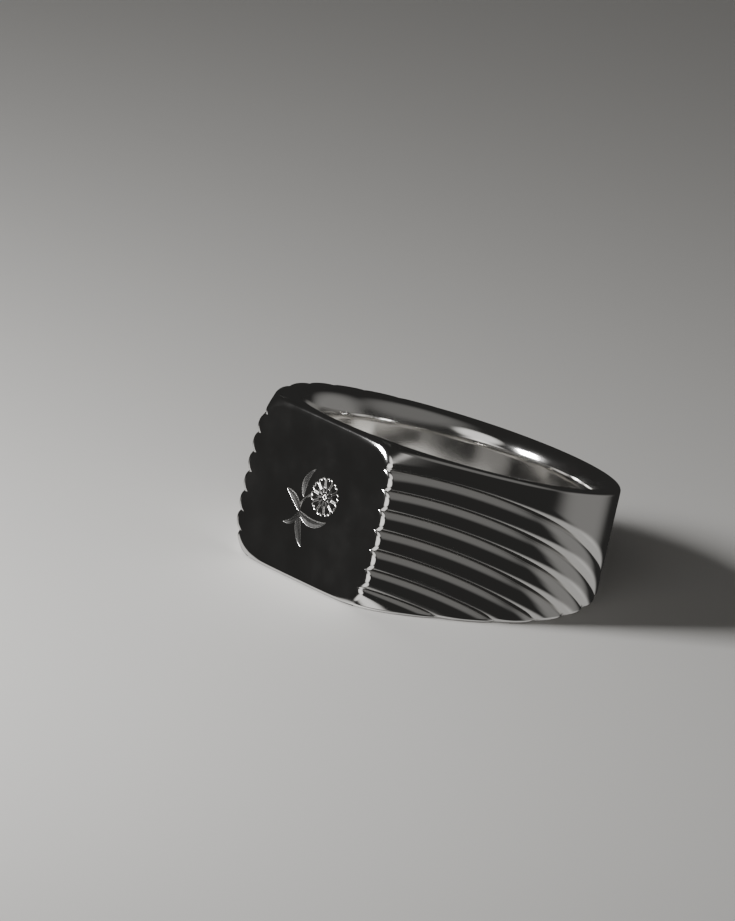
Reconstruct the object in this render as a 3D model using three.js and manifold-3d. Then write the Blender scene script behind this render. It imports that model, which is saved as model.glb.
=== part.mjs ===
// A fluted cushion signet ring, 19 mm bore, as a bench jeweller builds it: a flat table plate
// soldered on a head block, two fluted shoulders and a plain back shank.
//
// The ring is drawn upright about its finger axis: +Z along the finger, -Y out of the table,
// +X to the right shoulder. The whole group is then tipped onto its lower flat side, which
// lies on z = 0. Millimetres throughout.

import * as THREE from 'three';
import { mergeVertices } from 'three/addons/utils/BufferGeometryUtils.js';
import Module from 'manifold-3d';

const wasm = await Module();
wasm.setup();

// ---- driving dimensions ----
const boreRadius = 9.5;
const boreFlare = 1.1; // how much wider the bore opens at the side faces, for comfort
const flareShare = 0.42; // share of the half height over which it opens
const faceDistance = 11.2; // finger axis to the table's flat
const faceHalfWidth = 6.45;
const faceHalfHeight = 5.4;
const cushionPower = 4.5; // exponent of the table's rounded-square outline
const cornerOpening = 0.9; // how much the outline's corners open out per millimetre behind the table
const sideRadius = 11.4; // finger axis to the outside, at the ring's sides
const backRadius = 11.1; // finger axis to the outside, at the back
const backHalfHeight = 3.3; // half of the band's height at the back

const grooveCount = 7; // grooves on each shoulder
const groovePitch = 1.3; // at the table's edge
const grooveDepth = 0.3;
const ribPower = 2.6; // exponent of a rib's section, higher for flatter ribs and narrower grooves
const fluteSpread = 0.02; // how much the flutes widen per millimetre behind the table
const slantStart = 0.06; // slope of the flutes at the table's edge
const slantGrowth = 0.018; // and how fast they turn towards the side face
const fluteFadeStart = 112; // degrees round from the table, where the flutes begin to die out
const fluteFadeEnd = 142;

const tableThickness = 0.5;
const headHalfWidth = 5.4; // head block's joint with each shoulder
const shoulderEnd = 145; // degrees round from the table, joint with the back shank
const solderGap = 0.04; // every soldered seam
const halvesOverlap = 0.5; // the two halves of the head are joined through each other
const outOfReach = 30; // far enough to clear the whole ring

// ---- how finely the curves are divided ----
const shoulderSteps = 10;
const backSteps = 8;
const stepsPerRib = 4;
const boreSteps = 96;
const flareSteps = 5;
const shankSteps = 30;
const cornerShares = [0.12, 0.3, 0.5, 0.68, 0.82, 0.92, 0.98, 1]; // from the last groove to the side face
const beyondSideFace = [6.4, 8, 10.5]; // rib coordinates that the slant brings onto the band further back

// ---- worked out from them ----
const bandLength = faceDistance + backRadius;
const sideTaper = (faceHalfHeight - backHalfHeight) / bandLength;
const tipAngle = Math.atan(sideTaper);
const landStart = (groovePitch * (grooveCount - 1)) / 2; // rib coordinate of the outermost groove
const tableBack = -faceDistance + tableThickness;
const degrees = Math.PI / 180;
const sideHalfHeight = (y) => faceHalfHeight - sideTaper * (y + faceDistance);
const halfHeightAtAxis = sideHalfHeight(0);
const lerp = THREE.MathUtils.lerp;
const smoothstep = THREE.MathUtils.smoothstep;

// The band's outside in plan, from the table's edge round to the back, as x and y.
// The shoulder is a cubic that leaves the edge at a lean and arrives parallel to Y at the side.
const shoulderLean = 29 * degrees;
const shoulderReach = 4; // length of the curve's handles
const shoulder = new THREE.CubicBezierCurve(
  new THREE.Vector2(faceHalfWidth, -faceDistance),
  new THREE.Vector2(
    faceHalfWidth + shoulderReach * Math.sin(shoulderLean),
    -faceDistance + shoulderReach * Math.cos(shoulderLean),
  ),
  new THREE.Vector2(sideRadius, -shoulderReach),
  new THREE.Vector2(sideRadius, 0),
);

function planOutline(lastAngle) {
  const points = shoulder.getPoints(shoulderSteps);
  for (let i = 1; i <= backSteps; i++) {
    const angle = lerp(90, lastAngle, i / backSteps) * degrees;
    points.push(new THREE.Vector2(sideRadius * Math.sin(angle), -backRadius * Math.cos(angle)));
  }
  return points;
}

// How far the rounded-square outline has drawn in at height z, a depth behind the table.
// The corners open out behind the table, so the flats of the side faces soon cut them off.
function cushion(z, depth) {
  const justShortOfTip = 0.9995;
  const reach = Math.min(Math.abs(z) / (faceHalfHeight + cornerOpening * depth), justShortOfTip);
  return Math.pow(1 - Math.pow(reach, cushionPower), 1 / cushionPower);
}

// Depth of the fluted surface below the rib crests, for a rib coordinate across the band.
function fluteDepth(rib, angle) {
  const fade = 1 - smoothstep(angle, fluteFadeStart, fluteFadeEnd);
  if (Math.abs(rib) >= landStart) {
    const onLand = Math.min((Math.abs(rib) - landStart) / (groovePitch / 2), 1);
    return grooveDepth * (1 - onLand) ** ribPower * fade;
  }
  const acrossRib = ((rib + landStart) / groovePitch) % 1;
  return grooveDepth * Math.abs(2 * acrossRib - 1) ** ribPower * fade;
}

// Rib coordinates across the band: a few steps on each rib, closer ones where the cushion's
// corners turn, and a few beyond the side faces, which the slanting flutes need.
function ribCoordinates() {
  const ribs = [];
  for (let i = 0; i <= (grooveCount - 1) * stepsPerRib; i++) {
    ribs.push(-landStart + (i * groovePitch) / stepsPerRib);
  }
  const corner = cornerShares.map((share) => lerp(landStart, faceHalfHeight, share));
  const upper = [...corner, ...beyondSideFace];
  return [...upper.map((rib) => -rib).reverse(), ...ribs, ...upper];
}

// ---- solids ----
function solidFrom(geometry) {
  const bare = geometry.index ? geometry.toNonIndexed() : geometry.clone();
  bare.deleteAttribute('normal');
  bare.deleteAttribute('uv');
  const merged = mergeVertices(bare, 1e-5);
  return new wasm.Manifold(
    new wasm.Mesh({
      numProp: 3,
      vertProperties: new Float32Array(merged.attributes.position.array),
      triVerts: new Uint32Array(merged.index.array),
    }),
  );
}

function geometryFrom(solid) {
  const mesh = solid.getMesh();
  const geometry = new THREE.BufferGeometry();
  geometry.setAttribute('position', new THREE.BufferAttribute(new Float32Array(mesh.vertProperties), 3));
  geometry.setIndex(new THREE.BufferAttribute(new Uint32Array(mesh.triVerts), 1));
  return geometry;
}

function box(low, high) {
  const size = new THREE.Vector3().subVectors(high, low);
  const geometry = new THREE.BoxGeometry(size.x, size.y, size.z);
  geometry.translate(low.x + size.x / 2, low.y + size.y / 2, low.z + size.z / 2);
  return solidFrom(geometry);
}

// A solid from just past the plane x = 0 to the fluted outside of the right half.
function rightHalfBlank() {
  const pastShoulderEnd = 4; // degrees, cut off again where the back shank begins
  const thinnest = 0.3;
  const outline = planOutline(shoulderEnd + pastShoulderEnd);
  const ribs = ribCoordinates();
  const outer = [];
  const inner = [];
  for (const point of outline) {
    const depth = point.y + faceDistance;
    const angle = Math.atan2(point.x, -point.y) / degrees;
    for (const rib of ribs) {
      const z = rib * (1 + fluteSpread * depth) - slantStart * depth - slantGrowth * depth * depth;
      const x = point.x * cushion(z, depth) - fluteDepth(rib, angle);
      outer.push(new THREE.Vector3(Math.max(x, thinnest), point.y, z));
      inner.push(new THREE.Vector3(-halvesOverlap, point.y, z));
    }
  }
  return gridSolid(outer, inner, outline.length, ribs.length);
}

// Closes two matching grids of points, one facing +X and one facing -X, into a solid.
function gridSolid(outer, inner, rows, columns) {
  const points = [...outer, ...inner];
  const back = outer.length;
  const triangles = [];
  const quad = (a, b, c, d) => triangles.push(a, b, c, a, c, d);
  for (let r = 0; r < rows - 1; r++) {
    for (let c = 0; c < columns - 1; c++) {
      const a = r * columns + c;
      const b = a + columns;
      quad(a, b, b + 1, a + 1);
      quad(back + a, back + a + 1, back + b + 1, back + b);
    }
  }
  for (let r = 0; r < rows - 1; r++) {
    const low = r * columns;
    const high = low + columns - 1;
    quad(low, back + low, back + low + columns, low + columns);
    quad(high, high + columns, back + high + columns, back + high);
  }
  for (let c = 0; c < columns - 1; c++) {
    const near = c;
    const far = (rows - 1) * columns + c;
    quad(near, near + 1, back + near + 1, back + near);
    quad(far, back + far, back + far + 1, far + 1);
  }
  const geometry = new THREE.BufferGeometry();
  const coordinates = points.flatMap((point) => [point.x, point.y, point.z]);
  geometry.setAttribute('position', new THREE.Float32BufferAttribute(coordinates, 3));
  geometry.setIndex(triangles);
  return solidFrom(geometry);
}

// The space between the two flat side faces, which draw together towards the back.
function sideFaceWedge() {
  const front = -faceDistance - 1;
  const back = backRadius + 1;
  const shape = new THREE.Shape([
    new THREE.Vector2(front, -sideHalfHeight(front)),
    new THREE.Vector2(back, -sideHalfHeight(back)),
    new THREE.Vector2(back, sideHalfHeight(back)),
    new THREE.Vector2(front, sideHalfHeight(front)),
  ]);
  const width = 2 * sideRadius + 2;
  const geometry = new THREE.ExtrudeGeometry(shape, { depth: width, bevelEnabled: false });
  geometry.translate(0, 0, -width / 2);
  // The drawing plane's x and y become the ring's y and z.
  geometry.applyMatrix4(new THREE.Matrix4().set(0, 0, 1, 0, 1, 0, 0, 0, 0, 1, 0, 0, 0, 0, 0, 1));
  return solidFrom(geometry);
}

// The bore: a cylinder that opens out along a quarter ellipse towards each side face.
function boreCutter() {
  const halfHeight = halfHeightAtAxis;
  const upper = [new THREE.Vector2(boreRadius, 0)];
  for (let i = 0; i <= flareSteps; i++) {
    const turn = (i / flareSteps) * 90 * degrees;
    const height = halfHeight * (1 - flareShare + flareShare * Math.sin(turn));
    upper.push(new THREE.Vector2(boreRadius + boreFlare * (1 - Math.cos(turn)), height));
  }
  upper.push(new THREE.Vector2(boreRadius + boreFlare, 2 * halfHeight));
  upper.push(new THREE.Vector2(0, 2 * halfHeight));
  const lower = upper.slice(1).map((p) => new THREE.Vector2(p.x, -p.y));
  const geometry = new THREE.LatheGeometry([...lower.reverse(), ...upper], boreSteps);
  geometry.rotateX(Math.PI / 2);
  return solidFrom(followSideFaces(geometry));
}

// Stretches a shape drawn for a band of even height to the band's real height at each place.
function followSideFaces(geometry) {
  const position = geometry.attributes.position;
  for (let i = 0; i < position.count; i++) {
    const share = sideHalfHeight(position.getY(i)) / halfHeightAtAxis;
    position.setZ(i, position.getZ(i) * share);
  }
  return geometry;
}

// A large block holding everything on the table's side of the plane through the finger axis
// at an angle round from the table, drawn back from that plane by an offset.
function tableSideOf(angle, offset) {
  const size = 40;
  const geometry = new THREE.BoxGeometry(size, size, size);
  geometry.translate(0, -size / 2 - offset, 0);
  geometry.rotateZ((angle - 90) * degrees);
  return geometry;
}

// The left half is the right half turned half a turn about the table's normal.
function turnedHalfRound(geometry) {
  return geometry.clone().rotateY(Math.PI);
}

// Everything between two planes of constant y, and no wider than a half-width.
function slab(nearY, farY, halfWidth) {
  const low = new THREE.Vector3(-halfWidth, nearY, -outOfReach);
  const high = new THREE.Vector3(halfWidth, farY, outOfReach);
  return box(low, high);
}

// ---- the five pieces ----
function tableGeometry(ring) {
  return geometryFrom(ring.intersect(slab(-outOfReach, tableBack, outOfReach)));
}

function headBlockGeometry(ring, bore) {
  return geometryFrom(ring.intersect(slab(tableBack + solderGap, 0, headHalfWidth)).subtract(bore));
}

function rightShoulderGeometry(rightHalf, bore) {
  const behindTable = slab(tableBack + solderGap, outOfReach, outOfReach);
  const head = slab(-outOfReach, 0, headHalfWidth + solderGap);
  const shoulderRange = solidFrom(tableSideOf(shoulderEnd, solderGap / 2));
  return geometryFrom(
    rightHalf.intersect(behindTable).intersect(shoulderRange).subtract(head).subtract(bore),
  );
}

function backShankGeometry(wedge, bore) {
  const shape = new THREE.Shape();
  shape.absellipse(0, 0, sideRadius, backRadius, 0, Math.PI, false);
  const geometry = new THREE.ExtrudeGeometry(shape, {
    depth: 2 * faceHalfHeight,
    bevelEnabled: false,
    curveSegments: shankSteps,
  });
  geometry.translate(0, 0, -faceHalfHeight);
  const rightShoulders = tableSideOf(shoulderEnd, -solderGap / 2);
  const leftShoulders = turnedHalfRound(rightShoulders);
  return geometryFrom(
    solidFrom(geometry)
      .intersect(wedge)
      .subtract(bore)
      .subtract(solidFrom(rightShoulders))
      .subtract(solidFrom(leftShoulders)),
  );
}

function piece(name, geometry, material) {
  const mesh = new THREE.Mesh(geometry, material);
  mesh.name = name;
  return mesh;
}

function buildRing() {
  const polishedSilver = new THREE.MeshStandardMaterial({ color: 0xcfcdc8, roughness: 0.12, metalness: 1 });
  const engravedSilver = new THREE.MeshStandardMaterial({ color: 0xc9c7c2, roughness: 0.08, metalness: 1 });
  const wedge = sideFaceWedge();
  const bore = boreCutter();
  const rightHalf = rightHalfBlank().intersect(wedge);
  const leftHalf = solidFrom(turnedHalfRound(geometryFrom(rightHalf)));
  const ring = rightHalf.add(leftHalf);
  const shoulderGeometry = rightShoulderGeometry(rightHalf, bore);

  const upright = new THREE.Group();
  upright.add(piece('signet_table', tableGeometry(ring), engravedSilver));
  upright.add(piece('head_block', headBlockGeometry(ring, bore), polishedSilver));
  upright.add(piece('shoulder_right', shoulderGeometry, polishedSilver));
  const leftShoulder = piece('shoulder_left', shoulderGeometry, polishedSilver);
  leftShoulder.rotation.y = Math.PI;
  upright.add(leftShoulder);
  upright.add(piece('back_shank', backShankGeometry(wedge, bore), polishedSilver));
  return upright;
}

// Tipping the ring by the side faces' half angle lays the lower one flat on z = 0. The origin
// is then under the middle of the whole ring, between the table's lower edge and the back's
// upper edge.
const tableReach = faceDistance * Math.cos(tipAngle) + faceHalfHeight * Math.sin(tipAngle);
const backReach = backRadius * Math.cos(tipAngle) + backHalfHeight * Math.sin(tipAngle);
const tipped = buildRing();
tipped.rotation.x = -tipAngle;
tipped.position.set(0, (tableReach - backReach) / 2, halfHeightAtAxis * Math.cos(tipAngle));
const ring = new THREE.Group();
ring.add(tipped);

export default ring;
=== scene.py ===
"""A fluted cushion signet ring in polished silver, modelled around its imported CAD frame.

The ring's outside is one rounded implicit surface, `surface`, in millimetres about the upright
finger axis. Each piece is a mesh whose points are found on that surface and whose shading
normals are its gradient, so the seams, filed flush on the real ring, don't show.
"""
import math

import bmesh
import bpy
import numpy as np
from mathutils import Matrix, Vector


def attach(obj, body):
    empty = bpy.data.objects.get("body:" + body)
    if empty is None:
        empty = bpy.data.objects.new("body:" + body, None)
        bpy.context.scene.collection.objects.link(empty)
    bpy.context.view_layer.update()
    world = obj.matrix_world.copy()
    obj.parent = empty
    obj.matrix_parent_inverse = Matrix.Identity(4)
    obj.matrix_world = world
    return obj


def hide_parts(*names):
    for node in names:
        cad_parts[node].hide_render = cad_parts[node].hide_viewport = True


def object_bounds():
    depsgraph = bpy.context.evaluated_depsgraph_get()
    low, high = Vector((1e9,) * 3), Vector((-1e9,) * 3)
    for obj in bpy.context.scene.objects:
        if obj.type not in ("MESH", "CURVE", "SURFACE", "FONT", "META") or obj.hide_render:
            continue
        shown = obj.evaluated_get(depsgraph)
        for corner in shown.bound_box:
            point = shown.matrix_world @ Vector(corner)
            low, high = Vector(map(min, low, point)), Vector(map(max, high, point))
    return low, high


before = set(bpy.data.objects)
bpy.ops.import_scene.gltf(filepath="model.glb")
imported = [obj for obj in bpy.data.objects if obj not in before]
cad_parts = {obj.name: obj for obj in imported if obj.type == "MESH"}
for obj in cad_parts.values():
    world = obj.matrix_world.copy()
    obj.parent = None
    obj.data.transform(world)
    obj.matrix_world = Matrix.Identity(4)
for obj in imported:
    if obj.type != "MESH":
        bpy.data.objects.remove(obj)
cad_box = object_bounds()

# ---- driving dimensions, in millimetres and degrees, as in the CAD model ----
BORE_RADIUS = 9.5
BORE_FLARE = 1.1  # how much wider the bore opens at the side faces
FLARE_SHARE = 0.42  # share of the half height over which it opens
FACE_DISTANCE = 11.2  # finger axis to the table's flat
FACE_HALF_WIDTH = 6.45
FACE_HALF_HEIGHT = 5.4
CUSHION_POWER = 4.5  # exponent of the table's rounded-square outline
CORNER_OPENING = 0.9  # how much the outline's corners open out per millimetre behind the table
SIDE_RADIUS = 11.4  # finger axis to the outside, at the ring's sides
BACK_RADIUS = 11.1  # and at the back
BACK_HALF_HEIGHT = 3.3
GROOVE_COUNT = 7  # grooves on each shoulder
GROOVE_PITCH = 1.3  # at the table's edge
GROOVE_DEPTH = 0.3
RIB_POWER = 2.6  # exponent of a rib's section, higher for flatter ribs and narrower grooves
FLUTE_SPREAD = 0.02  # how much the flutes widen per millimetre behind the table
SLANT_START = 0.06  # slope of the flutes at the table's edge
SLANT_GROWTH = 0.018  # and how fast they turn towards the side face
FLUTE_FADE = (112.0, 142.0)  # degrees round from the table between which the flutes die out
SHOULDER_LEAN = 29.0
SHOULDER_REACH = 4.0  # length of the shoulder curve's handles
TABLE_THICKNESS = 0.5
HEAD_HALF_WIDTH = 5.4  # head block's joint with each shoulder
SHOULDER_END = 145.0  # degrees round from the table, joint with the back shank
EDGE_RADIUS = 0.25  # on every outer edge, only here and not in the CAD model

MM = 0.001
LAND_START = GROOVE_PITCH * (GROOVE_COUNT - 1) / 2  # rib coordinate of the outermost groove
TABLE_BACK = TABLE_THICKNESS - FACE_DISTANCE
SIDE_TAPER = (FACE_HALF_HEIGHT - BACK_HALF_HEIGHT) / (FACE_DISTANCE + BACK_RADIUS)
TIP_ANGLE = math.atan(SIDE_TAPER)

# ---- how finely the surface is followed ----
PLAN_STEPS = 3000
STEPS_PER_RIB = 14
SECTIONS = 260  # in each half turn
EDGE_STEPS = 8
RIM_STEPS = 12  # over the table's rim
FLARE_STEPS = 14
CORNER_STEPS = 26  # round each corner of the table
TABLE_SIDE_STEPS = 40
FULL_SLANT_RIBS = 8  # rib lines to either side that the slant can bring onto the flank
HALVINGS = 26  # of a ray, in the search for where it leaves the ring
FINE_STEP = 1e-4
NORMAL_STEP = 1e-3
RAY_REACH = 6.0  # longer than any ray inside the wall
EDGE_REACH = 3.0
WALL_START = 0.15  # from the bore to the seeds of the rays


# ---- the ring's surface ----
def shoulder_plan(steps):
    """The shoulder's outside in plan, from the table's edge to the ring's side."""
    lean = math.radians(SHOULDER_LEAN)
    start = np.array([FACE_HALF_WIDTH, -FACE_DISTANCE])
    controls = [
        start,
        start + SHOULDER_REACH * np.array([math.sin(lean), math.cos(lean)]),
        np.array([SIDE_RADIUS, -SHOULDER_REACH]),
        np.array([SIDE_RADIUS, 0.0]),
    ]
    t = np.linspace(0, 1, steps + 1)[:, None]
    weights = [(1 - t) ** 3, 3 * t * (1 - t) ** 2, 3 * t * t * (1 - t), t**3]
    return sum(weight * control for weight, control in zip(weights, controls))


PLAN = shoulder_plan(PLAN_STEPS)


def side_half_height(y):
    """Half the band's height, which falls from the table to the back."""
    return FACE_HALF_HEIGHT - SIDE_TAPER * (y + FACE_DISTANCE)


def slant(depth):
    """How far the flutes have turned towards the side face, at a depth behind the table."""
    return SLANT_START * depth + SLANT_GROWTH * depth * depth


def rib_height(rib, depth):
    return rib * (1 + FLUTE_SPREAD * depth) - slant(depth)


def rib_coordinate(z, depth):
    return (z + slant(depth)) / (1 + FLUTE_SPREAD * depth)


def smoothstep(value, low, high):
    t = np.clip((value - low) / (high - low), 0, 1)
    return t * t * (3 - 2 * t)


def flute_depth(rib, angle):
    """Depth of the fluted surface below the rib crests."""
    across = np.mod((rib + LAND_START) / GROOVE_PITCH, 1)
    on_land = np.clip((np.abs(rib) - LAND_START) / (GROOVE_PITCH / 2), 0, 1)
    profile = np.where(np.abs(rib) < LAND_START, np.abs(2 * across - 1), 1 - on_land) ** RIB_POWER
    return GROOVE_DEPTH * profile * (1 - smoothstep(angle, *FLUTE_FADE))


def outline_measure(p):
    """1 on the fluted outside, less inside it. The left half is the right one turned half round."""
    x, y, z = p.T
    turned = np.where(x < 0, -z, z)
    x = np.abs(x)
    depth = np.maximum(y + FACE_DISTANCE, -TABLE_THICKNESS)
    angle = np.degrees(np.arctan2(x, -y))
    x = x + flute_depth(rib_coordinate(turned, depth), angle)
    plan = np.interp(y, PLAN[:, 1], PLAN[:, 0])
    around = np.where(y < 0, x / plan, np.hypot(x / SIDE_RADIUS, y / BACK_RADIUS))
    corner = np.abs(z) / (FACE_HALF_HEIGHT + CORNER_OPENING * depth)
    return (around**CUSHION_POWER + corner**CUSHION_POWER) ** (1 / CUSHION_POWER)


def gradient(function, p, step):
    shifts = step * np.eye(3)
    return np.stack([(function(p + s) - function(p - s)) / (2 * step) for s in shifts], axis=1)


def rounded(distances, radius):
    """The inside of all the given surfaces, its edges rounded to a radius."""
    stacked = np.stack(distances)
    past = np.maximum(stacked + radius, 0)
    return np.sqrt((past**2).sum(0)) - radius + np.minimum(stacked.max(0) + radius, 0)


def bore_radius(share):
    """The bore's radius at a share of the half height: it opens along a quarter ellipse."""
    opening = np.clip((share - 1 + FLARE_SHARE) / FLARE_SHARE, 0, 1)
    return BORE_RADIUS + BORE_FLARE * (1 - np.sqrt(1 - opening**2))


def bore_distance(p):
    """Distance inside the flared bore, negative in the metal."""
    x, y, z = p.T
    half_height = side_half_height(y)
    opening = np.maximum((np.abs(z) / half_height - 1 + FLARE_SHARE) / FLARE_SHARE, 0)
    short = BORE_RADIUS + BORE_FLARE - np.hypot(x, y)
    across = np.maximum(short / BORE_FLARE, 1e-6)
    turn = np.hypot(across, opening)
    slope = np.hypot(across / BORE_FLARE, opening / (FLARE_SHARE * half_height)) / turn
    flared = np.where(short > 0, (turn - 1) / slope, short)
    return np.where(opening > 0, flared, BORE_RADIUS - np.hypot(x, y))


def surface(p):
    """Signed distance to the ring, near enough at its surface: 0 on it and less inside."""
    slope = np.linalg.norm(gradient(outline_measure, p, FINE_STEP), axis=1)
    outside = (outline_measure(p) - 1) / np.maximum(slope, 0.02)
    x, y, z = p.T
    front = -FACE_DISTANCE - y
    upper = (z - side_half_height(y)) * math.cos(TIP_ANGLE)
    lower = (-z - side_half_height(y)) * math.cos(TIP_ANGLE)
    body = rounded([outside, front, upper, lower], EDGE_RADIUS)
    return np.maximum(body, bore_distance(p))


def normals_at(p):
    slopes = gradient(surface, p, NORMAL_STEP)
    return slopes / np.linalg.norm(slopes, axis=1)[:, None]


def outward(seeds, directions, reach):
    """Where rays from points inside the ring leave it."""
    low = np.zeros(len(seeds))
    high = np.full(len(seeds), reach)
    for _ in range(HALVINGS):
        middle = (low + high) / 2
        inside = surface(seeds + middle[:, None] * directions) < 0
        low = np.where(inside, middle, low)
        high = np.where(inside, high, middle)
    return seeds + low[:, None] * directions


# ---- points of the band, found section by section round the finger axis ----
def fan(seeds, start, end, reach, count):
    """Rays from one seed in each section, turning from one direction to another."""
    turns = np.radians(np.linspace(4, 86, count))
    points = [outward(seeds, math.cos(a) * start + math.sin(a) * end, reach) for a in turns]
    return np.stack(points, axis=1)


def rows(seeds, direction, reach):
    """Rays in one direction in each section, from many seeds."""
    sections, count = seeds.shape[:2]
    directions = np.broadcast_to(direction[:, None], seeds.shape).reshape(-1, 3)
    return outward(seeds.reshape(-1, 3), directions, reach).reshape(sections, count, 3)


def seeds_in_wall(radial, heights):
    """Points just outside the bore's wall, at given heights in each section."""
    y = BORE_RADIUS * radial[:, None, 1]
    share = np.minimum(np.abs(heights) / side_half_height(y), 1)
    seeds = (bore_radius(share) + WALL_START)[..., None] * radial[:, None]
    seeds[..., 2] = heights
    return seeds


def flank(radial):
    """Points on the outside, in lines that follow the rib crests and the grooves between them."""
    top = (FULL_SLANT_RIBS + 0.5) * GROOVE_PITCH
    ribs = np.linspace(-top, top, (2 * FULL_SLANT_RIBS + 1) * STEPS_PER_RIB + 1)
    evenly = np.linspace(-1, 1, len(ribs))
    angles = np.degrees(np.arctan2(radial[:, 0], -radial[:, 1]))
    even_from = 178
    smooth = smoothstep(angles, FLUTE_FADE[1], even_from)[:, None]
    points = SIDE_RADIUS * radial[:, None] + np.zeros((1, len(ribs), 3))
    for _ in range(4):
        depth = points[..., 1] + FACE_DISTANCE
        limit = side_half_height(points[..., 1]) - EDGE_RADIUS
        lines = np.clip(rib_height(ribs, depth), -limit, limit)
        heights = lines * (1 - smooth) + evenly * limit * smooth
        points = rows(seeds_in_wall(radial, heights), radial, RAY_REACH)
    return points


def bore_column(radial):
    """Points down the bore's wall, from the upper side face to the lower one."""
    turns = np.radians(np.linspace(90, 0, FLARE_STEPS))
    curve_radii = BORE_RADIUS + BORE_FLARE * (1 - np.cos(turns))
    curve_shares = 1 - FLARE_SHARE + FLARE_SHARE * np.sin(turns)
    straight = np.linspace(1, -1, 8)[1:-1] * curve_shares[-1]
    radii = np.concatenate([curve_radii, np.full(len(straight), BORE_RADIUS), curve_radii[::-1]])
    shares = np.concatenate([curve_shares, straight, -curve_shares[::-1]])
    points = radii[:, None] * radial[:, None]
    points[..., 2] = shares * side_half_height(points[..., 1])
    return points


def side_and_edge(outer, radial, up):
    """From the flank over its rounded edge, and along the side face to the bore."""
    inside = outer - EDGE_RADIUS * radial
    over = fan(inside, radial, up + 0 * radial, EDGE_REACH, EDGE_STEPS)
    rim = (BORE_RADIUS + BORE_FLARE) * radial
    shares = np.linspace(0, 1, 5)[:-1, None]
    across = inside[:, None] * (1 - shares) + rim[:, None] * shares
    across[..., 2] = up[2] * side_half_height(across[..., 1])
    return np.concatenate([over, across], axis=1)


def half_band():
    """Closed loops of points round the wall's section, over the right half of the ring."""
    angles = np.linspace(0, math.pi, SECTIONS + 1)
    radial = np.stack([np.sin(angles), -np.cos(angles), 0 * angles], axis=1)
    up = np.array([0, 0, 1.0])
    outer = flank(radial)
    upper = side_and_edge(outer[:, -1], radial, up)
    lower = side_and_edge(outer[:, 0], radial, -up)[:, ::-1]
    return np.concatenate([outer, upper, bore_column(radial), lower], axis=1)


# ---- the table's engraving, placed by x and z on the table ----
BLOSSOM = np.array([1.05, 0.55])
BLOSSOM_RADIUS = 1.22
BLOSSOM_TURN = 12  # degrees
PETALS = 10
PETAL_EDGE = [
    (-13, 0.5), (-15, 0.86), (-11, 0.98), (-5, 1.0), (0, 0.9), (5, 1.0), (11, 0.98), (15, 0.86), (13, 0.5),
]  # one petal's outline: degrees from its middle and share of the blossom's radius
PETAL_RAYS = [(-7, 0.72), (0, 0.8), (7, 0.72)]
RAY_START = 0.26
EYE_DOTS = 6
EYE_RADIUS = 0.14
JUNCTION = np.array([-0.92, -1.0])  # where the stalk and four of the leaves meet
STALK_HALF_WIDTH = 0.06
LEAVES = [
    (JUNCTION, (-1.4, -0.2), (-2.4, 0.05), 0.46),
    (JUNCTION, (-1.1, -1.9), (-2.1, -2.05), 0.3),
    (JUNCTION, (-0.8, -2.3), (-0.15, -3.1), 0.46),
    (JUNCTION, (0.3, -1.8), (1.6, -1.02), 0.5),
    ((-0.8, 0.0), (-1.2, 1.1), (-0.28, 1.95), 0.38),
]  # each leaf's base, belly, tip and width
LEAF_STEPS = 18
FINE_CUT = 0.034  # half width
LEAF_EDGE_CUT = 0.03
STEEP = 0.8  # depth of a cut for its half width
RAY_STEEP = 0.45
LEAF_STEEP = 0.17
ENGRAVED_LOW = np.array([-2.9, -3.5])
ENGRAVED_HIGH = np.array([2.9, 2.5])
ENGRAVED_STEP = 0.022


def bezier(points, steps=14):
    start, control, end = (np.array(p, float) for p in points)
    t = np.linspace(0, 1, steps)[:, None]
    return start * (1 - t) ** 2 + 2 * control * t * (1 - t) + end * t * t


def petal_cuts(turn):
    """One petal: a two-lobed outline and three tapering cuts from the blossom's eye."""

    def at(angle, share):
        heading = turn + math.radians(angle)
        return BLOSSOM + BLOSSOM_RADIUS * share * np.array([math.cos(heading), math.sin(heading)])

    edge = np.array([at(angle, share) for angle, share in PETAL_EDGE])
    cuts = [(edge, FINE_CUT, FINE_CUT, STEEP)]
    for angle, far in PETAL_RAYS:
        ray = np.array([at(angle * 0.6, RAY_START), at(angle, far)])
        cuts.append((ray, 0.04, 0.01, RAY_STEEP))
    return cuts


def leaf_cuts(base, belly, tip, width):
    """A leaf: one wide shallow cut that narrows to both ends, inside a fine outline."""
    spine = bezier((base, belly, tip), LEAF_STEPS)
    along = np.gradient(spine, axis=0)
    side = np.stack([-along[:, 1], along[:, 0]], axis=1)
    side /= np.linalg.norm(side, axis=1)[:, None]
    swell = (np.sin(np.pi * np.linspace(0, 1, LEAF_STEPS) ** 0.85) ** 0.8)[:, None]
    swell = np.nan_to_num(swell)
    edges = [spine + sign * side * swell * width / 2 for sign in (-1, 1)]
    cuts = [(edge, LEAF_EDGE_CUT, LEAF_EDGE_CUT, STEEP) for edge in edges]
    narrowest = 0.012
    half_widths = 0.9 * swell[:, 0] * width / 2 + narrowest
    return cuts + [(spine, half_widths, None, LEAF_STEEP)]


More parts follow.
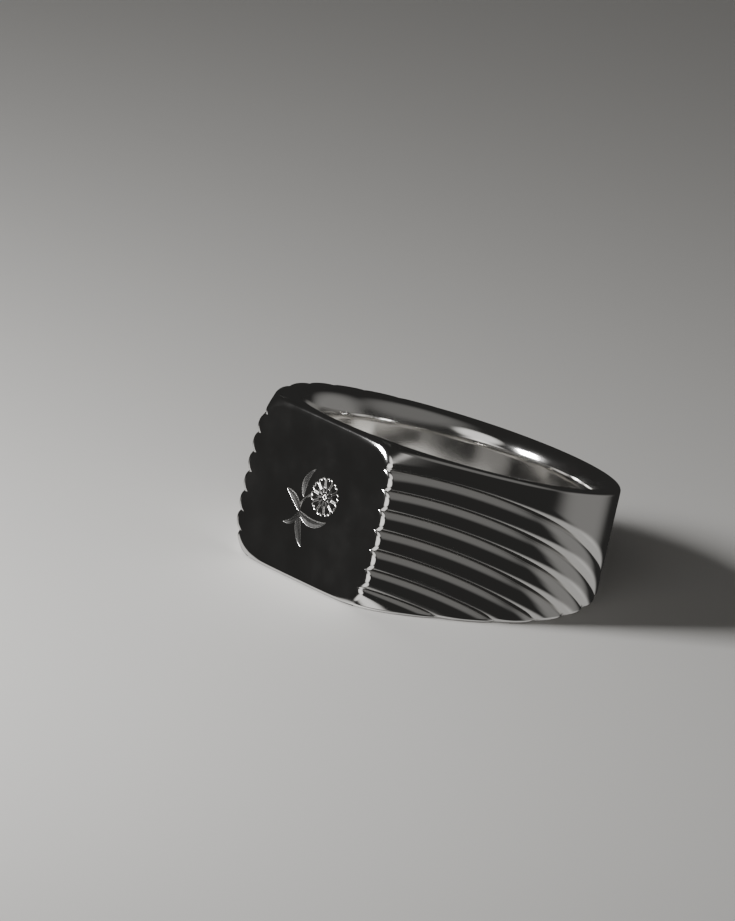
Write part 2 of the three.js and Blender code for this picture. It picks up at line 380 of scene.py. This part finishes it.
def engraving():
    """Every cut of the flower: a line, its half widths at both ends and its steepness."""
    cuts = []
    for petal in range(PETALS):
        cuts += petal_cuts(math.radians(BLOSSOM_TURN) + 2 * math.pi * petal / PETALS)
    for dot in range(EYE_DOTS):
        heading = 2 * math.pi * dot / EYE_DOTS
        place = BLOSSOM + EYE_RADIUS * np.array([math.cos(heading), math.sin(heading)])
        cuts.append((np.array([place, place + 0.001]), 0.06, 0.06, 0.9))
    for offset in (-STALK_HALF_WIDTH, STALK_HALF_WIDTH):
        start = JUNCTION + [offset, 0]
        stalk = bezier((start, (-1.0 + offset, -0.1), (-0.2, 0.3 + offset)))
        cuts.append((stalk, FINE_CUT, FINE_CUT, STEEP))
    for leaf in LEAVES:
        cuts += leaf_cuts(*leaf)
    return cuts


def cut_depth(places, line, start_width, end_width, steepness):
    """How deep one tapering V cut is at each place; both sides slope up to the flat table.

    Without an end width, the start width is a list with one half width for each point.
    """
    deepest = np.zeros(len(places))
    widths = start_width
    if end_width is not None:
        widths = np.linspace(start_width, end_width, len(line))
    for index in range(len(line) - 1):
        start, end = line[index], line[index + 1]
        reach = max(widths[index], widths[index + 1])
        near = np.all(places > np.minimum(start, end) - reach, axis=1)
        near &= np.all(places < np.maximum(start, end) + reach, axis=1)
        local = places[near]
        span = end - start
        share = np.clip((local - start) @ span / max(span @ span, 1e-12), 0, 1)
        gap = np.linalg.norm(local - start - share[:, None] * span, axis=1)
        width = widths[index] * (1 - share) + widths[index + 1] * share
        deepest[near] = np.maximum(deepest[near], (width - gap) * steepness)
    return deepest


def engraved_patch():
    """The middle of the table as a fine grid with the flower cut into it."""
    across, up = (
        np.arange(low, high, ENGRAVED_STEP) for low, high in zip(ENGRAVED_LOW, ENGRAVED_HIGH)
    )
    grid = np.stack(np.meshgrid(across, up, indexing="ij"), axis=-1).reshape(-1, 2)
    depth = np.zeros(len(grid))
    for line, start_width, end_width, steepness in engraving():
        depth = np.maximum(depth, cut_depth(grid, line, start_width, end_width, steepness))
    points = np.stack([grid[:, 0], depth - FACE_DISTANCE, grid[:, 1]], axis=1)
    return points, grid_faces(len(across), len(up), wrap=False)


# ---- the table's rim and flank ----
def table_walk(y):
    """Seeds and directions right round the table at one depth: flank, corner, side, and again."""
    ribs = np.linspace(-LAND_START, LAND_START, (GROOVE_COUNT - 1) * STEPS_PER_RIB + 1)
    heights = rib_height(ribs, y + FACE_DISTANCE)
    corner_centre = 1.6  # from the table's edge
    half = FACE_HALF_WIDTH - corner_centre
    seeds, directions = [], []
    for angle in np.radians(np.linspace(-87, -3, CORNER_STEPS)):
        seeds.append((half, y, heights[0]))
        directions.append((math.cos(angle), 0, math.sin(angle)))
    for height in heights:
        seeds.append((half, y, height))
        directions.append((1, 0, 0))
    for angle in np.radians(np.linspace(3, 87, CORNER_STEPS)):
        seeds.append((half, y, heights[-1]))
        directions.append((math.cos(angle), 0, math.sin(angle)))
    for x in np.linspace(half, -half, TABLE_SIDE_STEPS)[:-1]:
        seeds.append((x, y, heights[-1]))
        directions.append((0, 0, 1))
    seeds = np.array(seeds)
    directions = np.array(directions)
    all_seeds = np.concatenate([seeds, seeds * HALF_TURN])
    return all_seeds, np.concatenate([directions, directions * HALF_TURN])


def table_loops():
    """Closed loops of points from the flat of the table over its rim and back to the seam."""
    front = np.array([0, -1.0, 0])
    rim_y = EDGE_RADIUS - FACE_DISTANCE
    seeds, directions = table_walk(rim_y)
    edge = outward(seeds, directions, RAY_REACH)
    inside = edge - EDGE_RADIUS * directions
    flat = inside - EDGE_RADIUS * directions
    flat[:, 1] = -FACE_DISTANCE
    loops = [flat]
    for a in np.radians(np.linspace(86, 4, RIM_STEPS)):
        turning = math.cos(a) * directions + math.sin(a) * front
        loops.append(outward(inside, turning, EDGE_REACH))
    loops.append(edge)
    for y in np.linspace(rim_y, TABLE_BACK, 4)[1:]:
        seeds, directions = table_walk(y)
        loops.append(outward(seeds, directions, RAY_REACH))
    return np.stack(loops)


# ---- meshes ----
def row_frame():
    """From the upright ring in millimetres to the row frame in metres, lying on its side."""
    front_reach = FACE_DISTANCE * math.cos(TIP_ANGLE) + FACE_HALF_HEIGHT * math.sin(TIP_ANGLE)
    back_reach = BACK_RADIUS * math.cos(TIP_ANGLE) + BACK_HALF_HEIGHT * math.sin(TIP_ANGLE)
    lift = side_half_height(0) * math.cos(TIP_ANGLE)
    place = Matrix.Translation((0, (front_reach - back_reach) / 2, lift))
    return Matrix.Scale(MM, 4) @ place @ Matrix.Rotation(-TIP_ANGLE, 4, "X")


ROW_FRAME = row_frame()
HALF_TURN = np.array([-1.0, 1.0, -1.0])
WELD_DISTANCE = 3e-4


def grid_faces(rows_count, columns, wrap):
    """Quads over a grid of points; with wrap, each row's last point joins its first."""
    corner = np.arange(rows_count * columns).reshape(rows_count, columns)
    beside = np.roll(corner, -1, axis=1)
    if not wrap:
        corner, beside = corner[:, :-1], beside[:, :-1]
    quads = np.stack([corner[:-1], corner[1:], beside[1:], beside[:-1]], axis=-1)
    return quads.reshape(-1, 4)


def welded(points, faces):
    """A mesh of the points and faces, with points in the same place made one."""
    work = bmesh.new()
    corners = [work.verts.new(p) for p in points]
    for face in faces:
        work.faces.new([corners[i] for i in face])
    bmesh.ops.remove_doubles(work, verts=work.verts, dist=WELD_DISTANCE)
    return work


def cut_away(work, point, normal):
    """Removes what lies beyond a plane, and closes the cut with a flat face."""
    everything = list(work.verts) + list(work.edges) + list(work.faces)
    bmesh.ops.bisect_plane(
        work, geom=everything, dist=1e-5, plane_co=point, plane_no=normal, clear_outer=True
    )
    open_edges = [edge for edge in work.edges if edge.is_boundary]
    bmesh.ops.holes_fill(work, edges=open_edges, sides=0)


def shade(mesh):
    """Corner normals: the ring surface's own, except on the table's flat, the seams and the cuts.

    The flat front and the hidden seam faces keep their flat normals, and the engraving keeps
    the smooth ones of its mesh.
    """
    count = len(mesh.polygons)
    mesh.polygons.foreach_set("use_smooth", [True] * count)
    corners = np.zeros(len(mesh.loops), int)
    mesh.loops.foreach_get("vertex_index", corners)
    places = np.zeros(len(mesh.vertices) * 3)
    mesh.vertices.foreach_get("co", places)
    sizes = np.zeros(count, int)
    mesh.polygons.foreach_get("loop_total", sizes)
    centres = np.zeros(count * 3)
    mesh.polygons.foreach_get("center", centres)
    flats = np.zeros(count * 3)
    mesh.polygons.foreach_get("normal", flats)
    natural = np.zeros(len(mesh.loops) * 3)
    mesh.corner_normals.foreach_get("vector", natural)
    centres = centres.reshape(-1, 3)
    flat_front = (np.abs(centres[:, 1] + FACE_DISTANCE) < 1e-4) & (flats[1::3] < -0.999)
    seam_depth = 0.05
    flat = np.repeat((surface(centres) < -seam_depth) | flat_front, sizes)
    centres = np.repeat(centres, sizes, axis=0)
    flats = np.repeat(flats.reshape(-1, 3), sizes, axis=0)
    towards_centre = 0.04  # keeps a corner on a sharp edge on its own face's side of it
    corner_places = places.reshape(-1, 3)[corners]
    own = normals_at(corner_places * (1 - towards_centre) + centres * towards_centre)
    normals = np.where(flat[:, None], flats, own)
    across = centres[:, [0, 2]]
    engraved = np.all((across > ENGRAVED_LOW) & (across < ENGRAVED_HIGH), axis=1)
    deeper_than_cuts = 0.2
    engraved &= centres[:, 1] < deeper_than_cuts - FACE_DISTANCE
    normals = np.where(engraved[:, None], natural.reshape(-1, 3), normals)
    mesh.normals_split_custom_set(normals.tolist())


def finished(name, work, materials, turned=False):
    """The piece as an object in the row frame, in place of its CAD node."""
    bmesh.ops.recalc_face_normals(work, faces=work.faces)
    mesh = bpy.data.meshes.new(name)
    work.to_mesh(mesh)
    work.free()
    for material in materials:
        mesh.materials.append(material)
    shade(mesh)
    if turned:
        mesh.transform(Matrix.Rotation(math.pi, 4, "Y"))
    mesh.transform(ROW_FRAME)
    item = bpy.data.objects.new(name, mesh)
    bpy.context.scene.collection.objects.link(item)
    return item


def band_piece(band, planes, name, material, turned=False):
    """What the planes leave of the whole band, turned half a turn if it is the left shoulder."""
    work = band.copy()
    for point, normal in planes:
        cut_away(work, point, normal)
    return finished(name, work, [material], turned)


def whole_band():
    """The ring's wall all the way round, its left half the right half turned half round."""
    right = half_band()
    left = right[1:-1] * HALF_TURN
    columns = right.shape[1]
    mirrored = left[::-1, ::-1]
    shift = columns - (STEPS_PER_RIB * (2 * FULL_SLANT_RIBS + 1) + 1)
    mirrored = np.roll(mirrored, -shift, axis=1)
    sections = np.concatenate([right, mirrored, right[:1]])
    return welded(sections.reshape(-1, 3), grid_faces(len(sections), columns, wrap=True))


def in_cut(centre):
    """Whether a face of the table belongs to the flower's cuts."""
    depth = centre.y + FACE_DISTANCE
    return 0.004 < depth < 0.3 and abs(centre.x) < 3.2 and abs(centre.z) < 3.4


def table_piece(name, polished, engraved):
    """The signet's table: its rim and flank, and the flat front with the flower cut into it."""
    loops = table_loops()
    columns = loops.shape[1]
    patch, patch_faces = engraved_patch()
    sides = grid_faces(len(loops), columns, wrap=True)
    points = np.concatenate([loops.reshape(-1, 3), patch])
    faces = [tuple(face) for face in sides]
    faces += [tuple(face + len(loops) * columns) for face in patch_faces]
    last = (len(loops) - 1) * columns
    back = tuple(range(last, last + columns))
    work = welded(points, faces + [back])
    rim = [edge for edge in work.edges if edge.is_boundary]
    bmesh.ops.triangle_fill(work, use_beauty=True, edges=rim)
    for face in work.faces:
        if in_cut(face.calc_center_median()):
            face.material_index = 1
    return finished(name, work, [polished, engraved])


# ---- materials ----
def socket_link(tree, output, node, socket):
    tree.links.new(output, node.inputs[socket])


def silver(name, colour, roughness, scratch_height):
    """Polished silver: soft cloudiness in its shine and fine polishing scratches."""
    material = bpy.data.materials.new(name)
    material.use_nodes = True
    tree = material.node_tree
    shader = tree.nodes["Principled BSDF"]
    shader.inputs["Metallic"].default_value = 1.0
    shader.inputs["Base Color"].default_value = (*colour, 1)
    place = tree.nodes.new("ShaderNodeTexCoord")
    clouds = tree.nodes.new("ShaderNodeTexNoise")
    clouds.inputs["Scale"].default_value = 500
    clouds.inputs["Detail"].default_value = 4
    socket_link(tree, place.outputs["Object"], clouds, "Vector")
    spread = tree.nodes.new("ShaderNodeMapRange")
    spread.inputs["From Min"].default_value = 0.35
    spread.inputs["From Max"].default_value = 0.7
    spread.inputs["To Min"].default_value = roughness * 0.8
    spread.inputs["To Max"].default_value = roughness * 1.4
    socket_link(tree, clouds.outputs["Fac"], spread, "Value")
    socket_link(tree, spread.outputs["Result"], shader, "Roughness")
    stretch = tree.nodes.new("ShaderNodeMapping")
    stretch.inputs["Scale"].default_value = (1.0, 1.0, 9.0)
    socket_link(tree, place.outputs["Object"], stretch, "Vector")
    scratches = tree.nodes.new("ShaderNodeTexNoise")
    scratches.inputs["Scale"].default_value = 2500
    scratches.inputs["Detail"].default_value = 6
    socket_link(tree, stretch.outputs["Vector"], scratches, "Vector")
    bump = tree.nodes.new("ShaderNodeBump")
    bump.inputs["Strength"].default_value = 0.3
    bump.inputs["Distance"].default_value = scratch_height
    socket_link(tree, scratches.outputs["Fac"], bump, "Height")
    socket_link(tree, bump.outputs["Normal"], shader, "Normal")
    return material


def pale_floor():
    """A plain matt grey."""
    material = bpy.data.materials.new("pale_floor")
    material.use_nodes = True
    shader = material.node_tree.nodes["Principled BSDF"]
    shader.inputs["Base Color"].default_value = (0.62, 0.61, 0.59, 1)
    shader.inputs["Roughness"].default_value = 0.9
    shader.inputs["Specular IOR Level"].default_value = 0.2
    return material


# ---- the studio ----
CAMERA_AZIMUTH = 44.54  # degrees round the finger axis from the table's own direction
CAMERA_HEIGHT_ANGLE = 12.25  # degrees above the ring's middle plane
CAMERA_ROLL = 12.9
CAMERA_DISTANCE = 577.3
FRAME_SHIFT_RIGHT = 4.52  # how far the ring's middle lies right of the frame's
FRAME_SHIFT_DOWN = 2.62  # and below it
LENS_PER_SENSOR = 9.772  # focal length for a sensor width of 1
KEY_DIRECTION = (-0.34, -0.82, 0.46)
KEY_DISTANCE = 0.15
KEY_SIZE = 0.04
KEY_POWER = 0.37
RING_MIDDLE = (0, 0, 0.005)
FLOOR_SIZE = 3.0


def camera():
    """The camera, placed about the upright ring and then laid down with it."""
    azimuth = math.radians(CAMERA_AZIMUTH)
    height = math.radians(CAMERA_HEIGHT_ANGLE)
    roll = math.radians(CAMERA_ROLL)
    forward = Vector((
        -math.sin(azimuth) * math.cos(height),
        math.cos(azimuth) * math.cos(height),
        -math.sin(height),
    ))
    level = Vector((math.cos(azimuth), math.sin(azimuth), 0))
    down = forward.cross(level)
    right = level * math.cos(roll) - down * math.sin(roll)
    lower = level * math.sin(roll) + down * math.cos(roll)
    spot = -(right * FRAME_SHIFT_RIGHT + lower * FRAME_SHIFT_DOWN + forward * CAMERA_DISTANCE)
    turn = Matrix((right, -lower, -forward)).transposed().to_4x4()
    data = bpy.data.cameras.new("camera")
    data.lens = LENS_PER_SENSOR * data.sensor_width
    item = bpy.data.objects.new("camera", data)
    bpy.context.scene.collection.objects.link(item)
    place = ROW_FRAME @ Matrix.Translation(spot) @ turn
    unscaled = place.to_quaternion().to_matrix().to_4x4()
    item.matrix_world = Matrix.Translation(place.translation) @ unscaled
    bpy.context.scene.camera = item


def key_light():
    """A soft square light from the left of the view, in front of the table."""
    data = bpy.data.lights.new("key", "AREA")
    data.size = KEY_SIZE
    data.energy = KEY_POWER
    item = bpy.data.objects.new("key", data)
    bpy.context.scene.collection.objects.link(item)
    towards = Vector(KEY_DIRECTION)
    item.location = Vector(RING_MIDDLE) + towards.normalized() * KEY_DISTANCE
    item.rotation_euler = towards.to_track_quat("Z", "Y").to_euler()


def floor():
    """The floor, which the metal doesn't mirror: it mirrors the room below instead."""
    bpy.ops.mesh.primitive_plane_add(size=FLOOR_SIZE, location=(0, 0, cad_box[0][2]))
    item = bpy.context.object
    item.name = "floor"
    item.data.materials.append(pale_floor())
    item.visible_glossy = False


def direction(azimuth, height):
    """A direction, by its angle round from the table towards +X and its angle above the floor."""
    azimuth = math.radians(azimuth)
    height = math.radians(height)
    level = math.cos(height)
    return (math.sin(azimuth) * level, -math.cos(azimuth) * level, math.sin(height))


# What the polished metal mirrors: each patch's azimuth, height, radius and soft edge in degrees,
# and its brightness.
ROOM_PATCHES = [
    (180, -60, 28, 16, 0.36),  # pale floor below and behind the right shoulder
    (27, 34, 10, 12, 0.9),  # the top, middle and foot of a tall card in front,
    (20, -6, 18, 12, 1.1),  # which lights the table's scalloped rim
    (16, -52, 14, 12, 0.9),
    (-88, -46, 26, 10, 0.62),  # pale floor on the far left, seen in the table's lower rim
    (155, -4, 14, 26, 0.17),  # pale wall beyond the right side
    (97, 45, 16, 30, 0.12),  # dim wall over the right shoulder, on the upper flanks of its ribs
]
ROOM_DARK = 0.022


def surroundings():
    """A dark room with a few soft pale patches in it."""
    world = bpy.data.worlds.new("studio")
    bpy.context.scene.world = world
    world.use_nodes = True
    tree = world.node_tree
    place = tree.nodes.new("ShaderNodeTexCoord")
    total = None
    for azimuth, height, radius, edge, brightness in ROOM_PATCHES:
        cosine = tree.nodes.new("ShaderNodeVectorMath")
        cosine.operation = "DOT_PRODUCT"
        cosine.inputs[1].default_value = direction(azimuth, height)
        socket_link(tree, place.outputs["Generated"], cosine, 0)
        patch = tree.nodes.new("ShaderNodeMapRange")
        patch.interpolation_type = "SMOOTHSTEP"
        patch.inputs["From Min"].default_value = math.cos(math.radians(radius + edge))
        patch.inputs["From Max"].default_value = math.cos(math.radians(radius))
        patch.inputs["To Max"].default_value = brightness
        socket_link(tree, cosine.outputs["Value"], patch, "Value")
        add = tree.nodes.new("ShaderNodeMath")
        socket_link(tree, patch.outputs["Result"], add, 0)
        if total is None:
            add.inputs[1].default_value = ROOM_DARK
        else:
            socket_link(tree, total, add, 1)
        total = add.outputs["Value"]
    background = tree.nodes["Background"]
    background.inputs["Color"].default_value = (1, 0.985, 0.96, 1)
    socket_link(tree, total, background, "Strength")


# ---- the ring ----
polished = silver("polished_silver", (0.93, 0.92, 0.90), 0.1, 0.000002)
# Silver for the flower's cuts: rougher than the polished silver, and its darker base colour is painted
# shade in the cuts.
engraved = silver("engraved_silver", (0.80, 0.79, 0.77), 0.24, 0.000004)

# Each seam is a point on its plane and the direction of what is cut away.
end = math.radians(SHOULDER_END)
axis = (0, 0, 0)
behind_table = ((0, TABLE_BACK, 0), (0, -1, 0))
right_of_head = ((HEAD_HALF_WIDTH, 0, 0), (1, 0, 0))
left_of_head = ((-HEAD_HALF_WIDTH, 0, 0), (-1, 0, 0))
head_side = ((HEAD_HALF_WIDTH, 0, 0), (-1, 0, 0))
back_half = (axis, (0, 1, 0))
past_shoulder = (axis, (math.cos(end), math.sin(end), 0))
before_right_end = (axis, (-math.cos(end), -math.sin(end), 0))
before_left_end = (axis, (math.cos(end), -math.sin(end), 0))
head_seams = [behind_table, right_of_head, left_of_head, back_half]
shoulder_seams = [behind_table, head_side, past_shoulder]
back_seams = [before_right_end, before_left_end]

band = whole_band()
table = table_piece("table", polished, engraved)
head = band_piece(band, head_seams, "head", polished)
right_shoulder = band_piece(band, shoulder_seams, "right_shoulder", polished)
left_shoulder = band_piece(band, shoulder_seams, "left_shoulder", polished, turned=True)
back = band_piece(band, back_seams, "back", polished)
band.free()

for item, node, slot in [
    (table, "signet_table", "engraved_silver"),
    (head, "head_block", "polished_silver"),
    (right_shoulder, "shoulder_right", "polished_silver"),
    (left_shoulder, "shoulder_left", "polished_silver"),
    (back, "back_shank", "polished_silver"),
]:
    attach(item, "root")
    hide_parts(node)

camera()
floor()
surroundings()
key_light()
